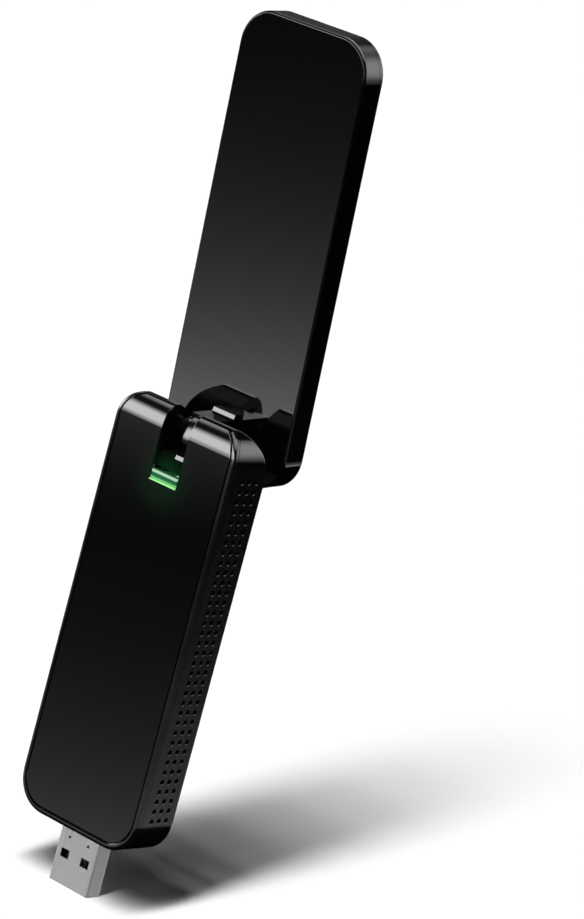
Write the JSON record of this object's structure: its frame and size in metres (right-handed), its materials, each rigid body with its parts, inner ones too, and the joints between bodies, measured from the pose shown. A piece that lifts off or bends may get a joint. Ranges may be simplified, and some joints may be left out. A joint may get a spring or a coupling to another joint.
{
  "type": "usb wifi adapter",
  "caption": "Slim black plug-in wireless adapter with perforated sides, a glossy front with a lit bar, and a flat antenna on a hinge that folds over the front.",
  "frame": {"origin": "centre of the USB plug where it leaves the housing", "axes": "+X right seen from the front, -Y the front with the lit bar, +Z from the plug towards the antenna"},
  "size_m": [0.0366, 0.0233, 0.1992],
  "materials": {
    "panel_gloss": "polished black",
    "bezel_gloss": "polished black",
    "housing_satin": "satin black",
    "cover_satin": "satin black",
    "screw_steel": "blackened steel",
    "hinge_plastic": "matt black",
    "pin_steel": "ground steel",
    "washer_steel": "spring steel",
    "light_clear": "frosted, lit green",
    "led_body": "moulded lamp",
    "board_mask": "solder mask",
    "chip_black": "moulded",
    "chip_black_b": "moulded",
    "can_tin": "tinned",
    "pad_silicone": "soft",
    "spreader_aluminium": "brushed",
    "ceramic": "ceramic",
    "ferrite": "ferrite",
    "socket_gold": "gold plated",
    "plug_gold": "gold plated",
    "coax_jacket": "smooth jacket",
    "plug_nickel": "nickel plated",
    "plug_insulator": "moulded",
    "contact_gold": "gold plated",
    "arm_plastic": "matt black",
    "foot_plastic": "matt black",
    "antenna_gloss": "polished black",
    "antenna_back_gloss": "polished black",
    "laminate": "laminate",
    "copper": "bare copper",
    "coax_jacket_b": "smooth jacket",
    "screw_steel_b": "zinc plated"
  },
  "bodies": {
    "housing": {"front_panel": "panel_gloss", "front_bezel": "bezel_gloss", "housing_frame": "housing_satin", "back_cover": "cover_satin", "cover_screws": "screw_steel", "hinge_saddle": "hinge_plastic", "hinge_pin": "pin_steel", "friction_washers": "washer_steel", "light_pipe": "light_clear", "status_led": "led_body", "main_circuit_board": "board_mask", "wifi_chip": "chip_black", "switching_chip": "chip_black_b", "shield_can": "can_tin", "thermal_pad": "pad_silicone", "heat_spreader": "spreader_aluminium", "board_capacitors": "ceramic", "power_inductor": "ferrite", "coax_sockets": "socket_gold", "coax_plugs": "plug_gold", "board_coax": "coax_jacket", "usb_plug_shell": "plug_nickel", "usb_plug_insulator": "plug_insulator", "usb_contacts": "contact_gold"},
    "antenna": {"antenna_front_shell": "antenna_gloss", "antenna_back_shell": "antenna_back_gloss", "hinge_arm": "arm_plastic", "arm_foot": "foot_plastic", "antenna_board": "laminate", "antenna_radiators": "copper", "antenna_coax": "coax_jacket_b", "antenna_screws": "screw_steel_b"}
  },
  "joints": [
    {"name": "antenna_hinge", "type": "hinge", "parent": "housing", "child": "antenna", "pos_m": [0, 0.0019, 0.0927], "axis": [1, 0, 0], "range_deg": [-5, 175]}
  ]
}
